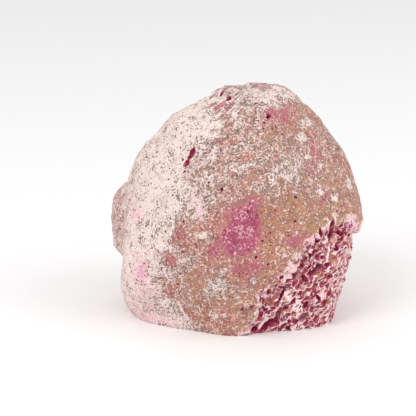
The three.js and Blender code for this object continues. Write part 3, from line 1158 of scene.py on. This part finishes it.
@dataclass(frozen=True)
class FineRelief:
    """The small relief: grit, folds and thin ridges on the rind, and shallow cells in the break.

    Sizes are in millimetres. The folds stretch along their turn, and the cells along theirs.
    """

    form: StoneForm
    grit_pitch: float = 4.2
    grit_height: float = 0.4
    grit_octaves: int = 4
    rind_fade: Span = (-1.0, 0.5)
    cell_length: float = 3.2
    cell_width: float = 1.8
    cell_turn: float = math.radians(50.0)
    cell_wall: Span = (0.05, 0.16)
    cell_drop: Span = (0.4, 1.3)
    cell_tilt: float = 1.6
    cell_crowd: float = 6.0
    cell_thinning: Span = (-0.6, -0.2)
    cell_shift: float = 70.0
    cell_warp: float = 1.2
    cell_fade: Span = (0.0, 0.8)
    fold_at: Span = (-8.8, 45.2)
    fold_half: Span = (10.0, 8.0)
    fold_size: Span = (5.0, 0.8)
    fold_depth: float = 20.0
    fold_turn: float = math.radians(44.0)
    fold_height: float = 0.55
    least_fold: float = 0.02
    creases: tuple[Crease, ...] = (
        Crease((-24.6, -33.6), (-18.0, -45.6), 0.5, 0.36),
        Crease((-22.4, -37.6), (-16.6, -45.4), 0.5, 0.32),
        Crease((-36.0, 19.0), (-31.0, 13.0), 0.6, 0.3),
    )
    groove_gap: float = 1.7  # from a crease's ridge to the groove beside it, in widths
    crease_reach: float = 4.0  # how far a crease goes on past its ends, in widths

    def folding(self, points: Array) -> Array:
        """How strongly the rind is folded at each point, from 0 to 1."""
        away = (self.form.seen(points) - np.array(self.fold_at)) / np.array(self.fold_half)
        return np.exp(-((away * away).sum(axis=1) ** 2)) * (points[:, 2] > 0.0)

    def folds(self, points: Array) -> Array:
        """The folds, each long and thin and lying along their turn.

        Args:
            points: places along the stone's axes, one a row.

        Returns:
            The height at each point, from about -1 to 1, or 0 where the rind isn't folded.
        """
        strength = self.folding(points)
        folded = strength > self.least_fold
        x, y = self.form.seen(points[folded]).T
        along, across = turned(x, y, self.fold_turn)
        length, width = self.fold_size
        scaled = np.column_stack([along / length, across / width, points[folded][:, 2] / self.fold_depth])
        height = np.zeros(len(points))
        height[folded] = strength[folded] * cloud(scaled, 1.0, 2)
        return height

    def creasing(self, points: Array) -> Array:
        """The creases, each a thin ridge with a groove beside it that dies away at both ends.

        Args:
            points: places along the stone's axes, one a row.

        Returns:
            The height at each point, in millimetres.
        """
        places = self.form.seen(points)
        height = np.zeros(len(points))
        for crease in self.creases:
            start, end = np.array(crease.start), np.array(crease.end)
            length = np.linalg.norm(end - start)
            run = (end - start) / length
            along = np.clip((places - start) @ run / length, 0.0, 1.0)
            off = (places - start) @ np.array([-run[1], run[0]]) / crease.width
            end_gap = np.linalg.norm(places - (start + (end - start) * along[:, None]), axis=1)
            taper = np.sin(math.pi * along) ** 0.5 * (end_gap < self.crease_reach * crease.width)
            profile = np.exp(-off * off) - np.exp(-((off - self.groove_gap) ** 2))
            height += crease.height * taper * profile * (points[:, 2] > 0.0)
        return height

    def cells(self, points: Array) -> tuple[Array, Array]:
        """The shallow cells that crowd the broken face between the hollows, with flat tilted floors.

        Args:
            points: places along the stone's axes, in millimetres.

        Returns:
            How far each point drops below the ridges, in millimetres, and its cell's tone.
        """
        crowded = cloud(points + self.cell_shift, self.cell_crowd, 2)
        x, y, z = (points + self.cell_warp * crowded[:, None]).T
        along, across = turned(x, y, self.cell_turn)
        width = self.cell_width
        scaled = np.column_stack([along / self.cell_length, across / width, z / width])
        found = [noise.voronoi(Vector(place)) for place in scaled]
        wall = np.array([gaps[1] - gaps[0] for gaps, _ in found])
        middles = np.array([list(nearest[0]) for _, nearest in found])
        draws = scattered(middles)
        tilt = ((scaled - middles) * (np.column_stack(draws) - 0.5)).sum(axis=1)
        shallow, deep = self.cell_drop
        drop = np.maximum(shallow + (deep - shallow) * draws[0] + self.cell_tilt * tilt, 0.0)
        return drop * smooth_step(*self.cell_wall, wall) * smooth_step(*self.cell_thinning, crowded), draws[1]

    def radius(self, ways: Array) -> Array:
        """The dressed surface: the form with its grit, creases, folds and cells.

        Args:
            ways: unit directions from the heart, one a row.

        Returns:
            The radius in each direction.
        """
        radius, inside = self.form.surface(ways)
        points = ways * radius[:, None]
        whole = 1.0 - smooth_step(*self.rind_fade, inside)
        grit = self.grit_height * cloud(points, self.grit_pitch, self.grit_octaves)
        radius = radius + whole * (grit + self.creasing(points))
        radius += self.fold_height * whole * self.folds(points)
        broken = inside > 0.0
        drop = self.cells(points[broken])[0]
        radius[broken] -= drop * smooth_step(*self.cell_fade, inside[broken])
        return radius


@dataclass(frozen=True)
class Markings:
    """Where each stain and dust lies on the stone, as weights that the finishes read.

    The chalk is thick on the left, as far as a curved border that is furthest left at border_rise. Patches
    then raise or lower a weight at their own places. A few patches, and the folds and creases, paint
    highlight and shade into the weights as well as stain and dust. Two sizes of noise make every edge
    wander and fray.
    """

    relief: FineRelief
    wander_pitch: float = 9.0
    wander_shifts: Span = (0.0, 40.0)
    wander_reach: float = 7.0
    fray_pitch: float = 3.0
    fray_shifts: Span = (20.0, 60.0)
    fray_reach: float = 2.0
    broad_pitch: float = 24.0
    broad_shift: float = 120.0
    front_fade: Span = (-14.0, 6.0)
    border_side: float = -24.8
    border_rise: float = -16.0
    border_curve: float = 0.0045
    left_fade: Span = (-13.0, 7.0)
    chalk_least: float = 0.14
    chalk_left: float = 0.74
    chalk_behind: float = 0.5  # the share of the left's chalk that it also has behind
    chalk_broad: float = 0.45
    chalk_broad_drop: float = 0.25
    honey_least: float = 0.40
    honey_broad: float = 0.4
    honey_left: float = -0.3
    rose_wander: float = 0.9
    rose_drop: float = 0.05
    rose_most: float = 0.26
    rose_foot: float = 0.55
    foot_fade: Span = (0.3, 2.0)
    foot_fray: float = 0.6
    blush_left: float = 0.6
    blush_fade: Span = (-16.0, -42.0)
    rim_fade: Span = (-5.5, -1.0)
    rim_wander: float = 2.5
    rim_fray: float = 3.0
    patch_wander: float = 0.5
    patch_fray: float = 0.7
    widest_fray: float = 3.5
    # painted highlight and shade: fold and crease ridges are made paler and their grooves rose-dark
    fold_ridge_highlight: float = 1.6
    fold_groove_shade: float = 1.1
    crease_ridge_highlight: float = 1.2
    crease_groove_shade: float = 0.6
    most: float = 1.3
    chalk: tuple[Patch, ...] = (
        Patch((0.0, 38.0), (22.0, 12.0), 0.38, 20.0), Patch((-2.0, 18.0), (16.0, 13.0), 0.22, -20.0),
        Patch((-14.0, 6.0), (6.5, 9.0), 0.42, -20.0), Patch((4.5, 15.0), (7.0, 4.0), -0.35, 10.0),
        Patch((15.6, 24.0), (4.5, 3.0), -0.30), Patch((-22.6, -8.6), (5.0, 5.0), -0.45, 20.0),
        Patch((-24.2, -6.0), (2.8, 2.4), -0.50, 30.0), Patch((14.0, 19.0), (16.0, 9.0), 0.30),
        Patch((30.0, 26.0), (12.0, 15.0), 0.17, 30.0), Patch((-29.0, -33.0), (9.0, 12.0), -0.36, 20.0),
        # partly chalk dust, partly painted light: the patch at (16.0, 48.0) makes the crown paler, as if lit
        # from above
        Patch((16.0, 48.0), (12.0, 5.0), 0.50), Patch((1.2, -8.0), (10.0, 12.0), -0.30, -18.0),
        Patch((-47.8, -3.0), (3.4, 13.0), -0.52), Patch((27.0, 37.0), (3.2, 2.2), 0.50, -30.0),
        Patch((25.0, 30.8), (2.6, 1.6), 0.60), Patch((28.6, 22.8), (1.8, 1.5), 0.60),
        Patch((32.6, 19.2), (1.2, 1.8), 0.65), Patch((32.6, 9.8), (1.7, 1.2), 0.90, -40.0),
        Patch((38.4, 6.8), (1.1, 2.0), 0.80, 30.0), Patch((22.8, 9.2), (1.3, 1.2), 0.60),
        Patch((22.7, -16.4), (1.3, 1.6), 0.80), Patch((18.4, -16.4), (0.9, 1.2), 0.60),
        Patch((5.8, -25.4), (1.4, 1.6), 0.70), Patch((-7.4, -29.4), (7.0, 5.4), 0.34, -20.0),
        Patch((-8.0, -28.4), (3.4, 2.2), 0.34, 15.0), Patch((-6.4, -23.2), (1.6, 1.6), 0.40),
        Patch((-9.2, -40.8), (1.2, 1.4), 0.80), Patch((-5.6, -40.0), (1.4, 0.9), 0.80),
        Patch((-14.4, -8.2), (2.8, 1.1), 0.62, -14.0), Patch((-21.0, -7.0), (2.6, 3.2), 0.30),
        # painted shade: the thin darker band at (-4.0, 29.4) stands in for the shadow under a small ledge
        Patch((-4.0, 29.4), (6.0, 1.6), -0.50, 12.0), Patch((2.4, 23.2), (4.0, 1.8), -0.50, 15.0),
        Patch((-4.0, 36.4), (1.6, 3.6), -0.50, -12.0), Patch((-27.6, -17.4), (3.2, 3.2), -0.60),
        # painted highlight: the narrow pale strip at (44.8, 12.6) stands in for light catching the right-hand
        # edge
        Patch((17.5, 40.0), (6.5, 5.0), -0.30), Patch((44.8, 12.6), (0.9, 4.2), 0.70, 16.0),
        Patch((-38.0, -38.0), (3.4, 3.0), -0.30, -35.0), Patch((-28.0, -36.0), (3.0, 2.4), 0.35),
        Patch((-26.0, -29.6), (2.2, 3.6), -0.35, -20.0),
    )
    honey: tuple[Patch, ...] = (
        Patch((36.0, 4.0), (12.0, 11.0), 0.55), Patch((-14.0, -30.0), (6.0, 13.0), 0.50),
        Patch((13.6, 32.0), (4.0, 3.0), 0.70), Patch((17.0, 2.0), (12.0, 9.0), 0.40),
        Patch((13.0, -18.0), (12.0, 8.0), 0.40), Patch((47.0, -1.0), (3.0, 4.0), 0.60),
        Patch((-5.0, 26.0), (12.0, 10.0), -0.30),
    )
    rose: tuple[Patch, ...] = (
        Patch((-24.2, -6.0), (2.8, 2.4), 0.66, 30.0), Patch((-28.0, -17.4), (3.8, 4.0), 0.36),
        Patch((0.2, -9.2), (8.6, 10.2), 0.95, -18.0), Patch((3.6, -1.6), (4.2, 7.0), 0.50, -34.0),
        Patch((0.6, -4.0), (18.0, 18.0), 0.32, -18.0), Patch((5.0, 6.5), (9.0, 7.0), 0.35, 30.0),
        Patch((17.0, 41.0), (8.5, 6.5), 0.50, -20.0), Patch((12.0, 50.0), (14.0, 5.0), 0.52),
        Patch((12.4, 39.0), (4.0, 4.0), 0.40), Patch((30.6, 18.0), (5.4, 4.0), 0.62),
        Patch((29.0, 28.0), (6.0, 7.0), 0.40, 30.0), Patch((34.0, 6.8), (1.4, 2.4), 0.90, -20.0),
        Patch((42.0, 3.8), (2.4, 3.4), 0.70, 20.0), Patch((22.2, 14.0), (1.4, 0.9), 0.80, 30.0),
        Patch((-4.0, -40.0), (9.0, 3.6), 0.40), Patch((-30.0, -37.0), (10.0, 7.0), 0.50),
        Patch((-26.0, -29.6), (2.2, 3.6), 0.30, -20.0), Patch((22.0, -10.0), (4.4, 3.2), 0.50),
        Patch((16.4, -24.2), (2.6, 2.4), 0.80), Patch((10.4, -3.0), (2.0, 2.6), -0.50),
        Patch((9.4, -14.0), (2.4, 2.0), -0.50), Patch((2.0, 46.0), (13.0, 6.0), 0.40),
        # partly brown stain, partly painted shade: the dark line at (-47.5, -14.3) lies under the left lump's
        # overhang
        Patch((-7.0, 44.0), (7.0, 2.4), 0.35, 35.0), Patch((-47.5, -14.3), (3.0, 1.0), 0.80, -20.0),
    )
    blush: tuple[Patch, ...] = (
        Patch((-38.8, -22.8), (2.2, 4.4), 1.30), Patch((-16.0, 1.2), (1.8, 4.0), 1.25),
        Patch((-39.6, 0.8), (2.5, 3.0), 0.65), Patch((-38.0, -32.0), (6.0, 8.0), 0.25),
        Patch((-32.0, -44.0), (18.0, 5.0), 0.50), Patch((10.8, -31.6), (3.0, 1.6), 0.70, 20.0),
        Patch((28.4, -9.2), (3.2, 1.7), 0.90, 20.0), Patch((21.8, -16.4), (1.6, 2.2), 0.60),
        Patch((46.0, -4.4), (2.6, 2.0), 0.70),
    )

    def base(self, points: Array, inside: Array, wander: Array, fray: Array) -> dict[Mask, Array]:
        """Works out the weights before the patches.

        Args:
            points: the mesh's points along the stone's axes, in millimetres.
            inside: how far each lies inside the break.
            wander: two coarse noises at each point.
            fray: two fine ones.

        Returns:
            For each mask, a weight for each point.
        """
        form = self.relief.form
        broad = cloud(points + self.broad_shift, self.broad_pitch)
        side, rise = (form.seen(points) + self.wander_reach * wander + self.fray_reach * fray).T
        front = smooth_step(*self.front_fade, points[:, 2])
        border = self.border_side + self.border_curve * (rise - self.border_rise) ** 2
        left = smooth_step(*self.left_fade, border - side)
        around = self.chalk_behind + (1.0 - self.chalk_behind) * front
        chalk_broad = self.chalk_broad - self.chalk_broad_drop * front
        rim_at = inside + self.rim_wander * wander[:, 0] + self.rim_fray * fray[:, 1]
        foot = 1.0 - smooth_step(*self.foot_fade, form.to_part(points)[:, 2] + self.foot_fray * fray[:, 0])
        rose = np.clip(self.rose_wander * wander[:, 1] - self.rose_drop, 0.0, self.rose_most)
        blush = self.blush_left * left * smooth_step(*self.blush_fade, side)
        return {
            Mask.CHALK: self.chalk_least + self.chalk_left * left * around + chalk_broad * broad,
            Mask.HONEY: self.honey_least + self.honey_broad * broad + self.honey_left * left,
            Mask.ROSE: rose + self.rose_foot * foot,
            Mask.BLUSH: blush + smooth_step(*self.rim_fade, rim_at),
        }

    def weights(self, points: Array, inside: Array) -> dict[Mask, Array]:
        """Works out the weights that say where each stain and dust lies.

        Args:
            points: the mesh's points along the stone's axes, in millimetres.
            inside: how far each lies inside the break.

        Returns:
            For each mask, a weight for each point.
        """
        wander = np.column_stack([cloud(points + shift, self.wander_pitch) for shift in self.wander_shifts])
        fray = np.column_stack([cloud(points + shift, self.fray_pitch) for shift in self.fray_shifts])
        values = self.base(points, inside, wander, fray)
        places = self.relief.form.seen(points)
        front = smooth_step(*self.front_fade, points[:, 2])
        patches = (self.chalk, self.honey, self.rose, self.blush)
        for mask, patch in [(mask, patch) for mask, group in zip(values, patches) for patch in group]:
            least = min(patch.half)
            frayed = places + self.patch_wander * least * wander
            x, y = (frayed + self.patch_fray * min(least, self.widest_fray) * fray - np.array(patch.at)).T
            along, across = turned(x, y, math.radians(patch.turn))
            reach = (along / patch.half[0]) ** 2 + (across / patch.half[1]) ** 2
            fall = reach * reach if mask is Mask.CHALK else reach  # chalk ends at a sharper edge
            values[mask] = values[mask] + patch.strength * front * np.exp(-fall)
        # painted highlight on the ridges of the folds and creases, and painted shade in their grooves
        streak, ledge = self.relief.folds(points), self.relief.creasing(points)
        values[Mask.CHALK] += self.fold_ridge_highlight * streak + self.crease_ridge_highlight * ledge
        grooves = [np.maximum(-self.fold_groove_shade * streak, 0.0), np.maximum(-self.crease_groove_shade * ledge, 0.0)]
        values[Mask.ROSE] += grooves[0] + grooves[1]
        return {mask: np.clip(value, 0.0, self.most) for mask, value in values.items()}


@dataclass
class Nodule:
    """The stone itself: its mesh, its hollows and its finishes."""

    form: StoneForm
    relief: FineRelief
    casts: HollowCasts
    markings: Markings
    ball_levels: int = 6
    gather: Point = (0.2, -0.16, 0.22)
    fine_steps: int = 3
    fine_foot: float = -0.5
    fine_back: float = -0.4
    fine_fold: float = 0.3
    fine_crease: float = 0.01
    fine_margin: float = 1.0
    fine_front: float = 12.0
    saw_block: float = 200.0
    broken_fade: Span = (-0.3, 0.6)
    faceted_from: float = 0.5

    def ball(self) -> tuple[Array, Array]:
        """Makes the directions and triangles of the dome: fine in front, and finest in the break.

        Returns:
            Unit directions from the heart, one a row, and the triangles between them.
        """
        shape = bmesh.new()
        bmesh.ops.create_icosphere(shape, subdivisions=self.ball_levels, radius=1.0)
        for vert in shape.verts:
            vert.co = (vert.co + Vector(self.gather)).normalized()
        for step in range(self.fine_steps):
            fine = self.detailed(unit(np.array([vert.co for vert in shape.verts])), step)
            shape.verts.index_update()
            edges = [edge for edge in shape.edges if all(fine[vert.index] for vert in edge.verts)]
            bmesh.ops.subdivide_edges(shape, edges=edges, cuts=1, use_grid_fill=True)
            bmesh.ops.triangulate(shape, faces=shape.faces)
            shape.verts.index_update()
        ways = unit(np.array([vert.co for vert in shape.verts]))
        faces = np.array([[vert.index for vert in face.verts] for face in shape.faces])
        shape.free()
        return ways, faces

    def detailed(self, ways: Array, step: int) -> Array:
        """Finds the directions that need finer triangles at a step.

        Args:
            ways: unit directions from the heart, one a row.
            step: 0 for the front of the stone, 1 for its break and folds, 2 for the front of the break.

        Returns:
            True or False for each direction.
        """
        radius, inside = self.form.surface(ways)
        points = ways * radius[:, None]
        above = self.form.to_part(points)[:, 2] > self.fine_foot
        if step == 0:
            return above & (ways[:, 2] > self.fine_back)
        if step == 1:
            creased = np.abs(self.relief.creasing(points)) > self.fine_crease
            ridged = creased | (self.relief.folding(points) > self.fine_fold)
            return above & (ridged | (inside > -self.fine_margin))
        return above & (inside > 0.0) & (points[:, 2] > self.fine_front)

    def saw(self) -> bpy.types.Mesh:
        """Makes the block below the foot that the stone is sawn off with.

        Returns:
            A cube whose top is at the foot.
        """
        shape = bmesh.new()
        bmesh.ops.create_cube(shape, size=self.saw_block * MM)
        bmesh.ops.translate(shape, verts=shape.verts, vec=(0.0, 0.0, -self.saw_block * MM / 2.0))
        for face in shape.faces:
            face.material_index = Finish.SAWN
        return meshed(shape, "saw")

    def cut(self, stone: bpy.types.Object, tools: list[bpy.types.Mesh]) -> None:
        """Cuts each tool out of the stone, and leaves the tool's finish on the cut.

        Args:
            stone: the stone's object, which gets the new mesh.
            tools: closed meshes with the stone's material slots.
        """
        for mesh in tools:
            for material in stone.data.materials:
                mesh.materials.append(material)
            tool = placed("tool", mesh)
            step = stone.modifiers.new("cut", "BOOLEAN")
            step.operation = "DIFFERENCE"
            step.solver = "MANIFOLD"
            step.object = tool
            result = stone.evaluated_get(bpy.context.evaluated_depsgraph_get())
            stone.data = bpy.data.meshes.new_from_object(result)
            stone.modifiers.clear()
            bpy.data.objects.remove(tool)

    def paint(self, mesh: bpy.types.Mesh) -> None:
        """Stores every weight that the finishes read on the mesh.

        Args:
            mesh: the stone's mesh, with its hollows cut.
        """
        places = column(mesh.vertices, "co", np.float32, 3).reshape(-1, 3)
        points = self.form.from_part(places.astype(float) / MM)
        radius = np.linalg.norm(points, axis=1)
        ways = points / radius[:, None]
        surface, inside = self.form.surface(ways)
        values = self.markings.weights(points, inside)
        near = inside > -self.fine_margin
        tone = np.zeros(len(points))
        tone[near] = self.relief.cells(ways[near] * surface[near][:, None])[1]
        values[Mask.BROKEN] = smooth_step(*self.broken_fade, inside)
        values[Mask.DEPTH] = surface - radius
        for mask, value in values.items():
            mesh.attributes.new(mask.value, "FLOAT", "POINT").data.foreach_set("value", value)
        self.paint_faces(mesh, tone, inside)

    def paint_faces(self, mesh: bpy.types.Mesh, tone: Array, inside: Array) -> None:
        """Gives every face outside the hollows the tone of its cell, and rounds the rind's shading.

        Args:
            mesh: the stone's mesh, whose hollows have their tones already.
            tone: the tone of the cell at each point.
            inside: how far each point lies inside the break.
        """
        finish = column(mesh.polygons, "material_index", np.int32)
        starts = column(mesh.polygons, "loop_start", np.int32)
        first = column(mesh.loops, "vertex_index", np.int32)[starts]
        layer = mesh.attributes[Mask.TONE.value].data
        tones = column(layer, "value", np.float32)
        layer.foreach_set("value", np.where(finish == Finish.LINING, tones, tone[first]))
        whole = inside[first] < self.faceted_from
        mesh.polygons.foreach_set("use_smooth", (finish == Finish.RIND) & whole)

    def build(self) -> bpy.types.Object:
        """Builds and dresses the stone.

        Returns:
            The stone's object, riding on the part.
        """
        ways, faces = self.ball()
        places = self.form.to_part(ways * self.relief.radius(ways)[:, None]) * MM
        mesh = bpy.data.meshes.new("agate_nodule")
        mesh.from_pydata(places.tolist(), [], faces.tolist())
        mesh.attributes.new(Mask.TONE.value, "FLOAT", "FACE")
        quartz = StainedQuartz()
        for finish in (ChalkyRind(quartz), quartz, SawnFace()):
            mesh.materials.append(finish.material())
        stone = placed("agate_nodule", mesh)
        self.cut(stone, [*self.casts.build(), self.saw()])
        self.paint(stone.data)
        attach(stone, "root")
        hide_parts("nodule")
        return stone


# ---- The studio ------------------------------------------------------------------------------------


@dataclass(frozen=True)
class SoftLight:
    """A square soft light: where it stands from the stone's heart, its side and its power."""

    name: str
    at: Point
    side: float
    power: float


@dataclass
class Studio:
    """A pale floor, soft lights and the camera."""

    form: StoneForm
    floor_radius: float = 4.0
    sensor: float = 36.0
    frame_pixels: int = 416
    pixel: float = 0.4  # millimetres across at the heart
    heart_pixel: tuple[int, int] = (237, 215)
    sky: str = "#ffffff"
    sky_strength: float = 0.8
    lights: tuple[SoftLight, ...] = (
        SoftLight("key", (-0.5, -0.65, 0.75), 0.5, 3.6),
        SoftLight("fill", (0.85, -0.3, 0.7), 0.7, 3.2),
    )

    def build_floor(self) -> None:
        """Builds the floor."""
        shape = bmesh.new()
        bmesh.ops.create_circle(shape, cap_ends=True, segments=96, radius=self.floor_radius)
        mesh = meshed(shape, "floor")
        mesh.materials.append(SeamlessPaper().material())
        floor = placed("floor", mesh)

    def build_lights(self) -> None:
        """Builds the sky and the soft lights."""
        world = bpy.data.worlds.new("sky")
        world.use_nodes = True
        background = world.node_tree.nodes["Background"]
        background.inputs["Color"].default_value = linear(self.sky)
        background.inputs["Strength"].default_value = self.sky_strength
        bpy.context.scene.world = world
        heart = Vector(self.form.heart) * MM
        for soft in self.lights:
            light = bpy.data.lights.new(soft.name, "AREA")
            light.size = soft.side
            light.energy = soft.power
            lamp = placed(soft.name, light)
            lamp.location = heart + Vector(soft.at)
            lamp.rotation_euler = Vector(soft.at).to_track_quat("Z", "Y").to_euler()

    def build_camera(self) -> None:
        """Builds the camera at the viewpoint's distance, looking down on the stone by its lean."""
        side, rise, front = self.form.axes
        distance = self.form.viewpoint * MM
        middle = self.frame_pixels / 2.0
        shift = (middle - self.heart_pixel[0]) * side + (self.heart_pixel[1] - middle) * rise
        target = np.array(self.form.heart) + shift * self.pixel
        data = bpy.data.cameras.new("camera")
        data.sensor_width = self.sensor
        data.lens = self.sensor * distance / (self.frame_pixels * self.pixel * MM)
        camera = placed("camera", data)
        camera.location = target * MM + front * distance
        camera.rotation_euler = (math.pi / 2.0 - self.form.lean, 0.0, 0.0)
        bpy.context.scene.camera = camera

    def build(self) -> None:
        """Builds everything that isn't the stone."""
        self.build_floor()
        self.build_lights()
        self.build_camera()
        bpy.context.scene.view_settings.view_transform = "Standard"


def main() -> None:
    """Builds the stone and the studio."""
    logging.basicConfig(level=logging.INFO, format="%(name)s: %(message)s")
    form = StoneForm()
    Studio(form).build()
    LOG.info("studio built")
    relief = FineRelief(form)
    stone = Nodule(form, relief, HollowCasts(form), Markings(relief)).build()
    size = [round(length, 4) for length in stone.dimensions]
    LOG.info("%s: %d faces, %s", stone.name, len(stone.data.polygons), size)


if __name__ == "__main__":
    main()
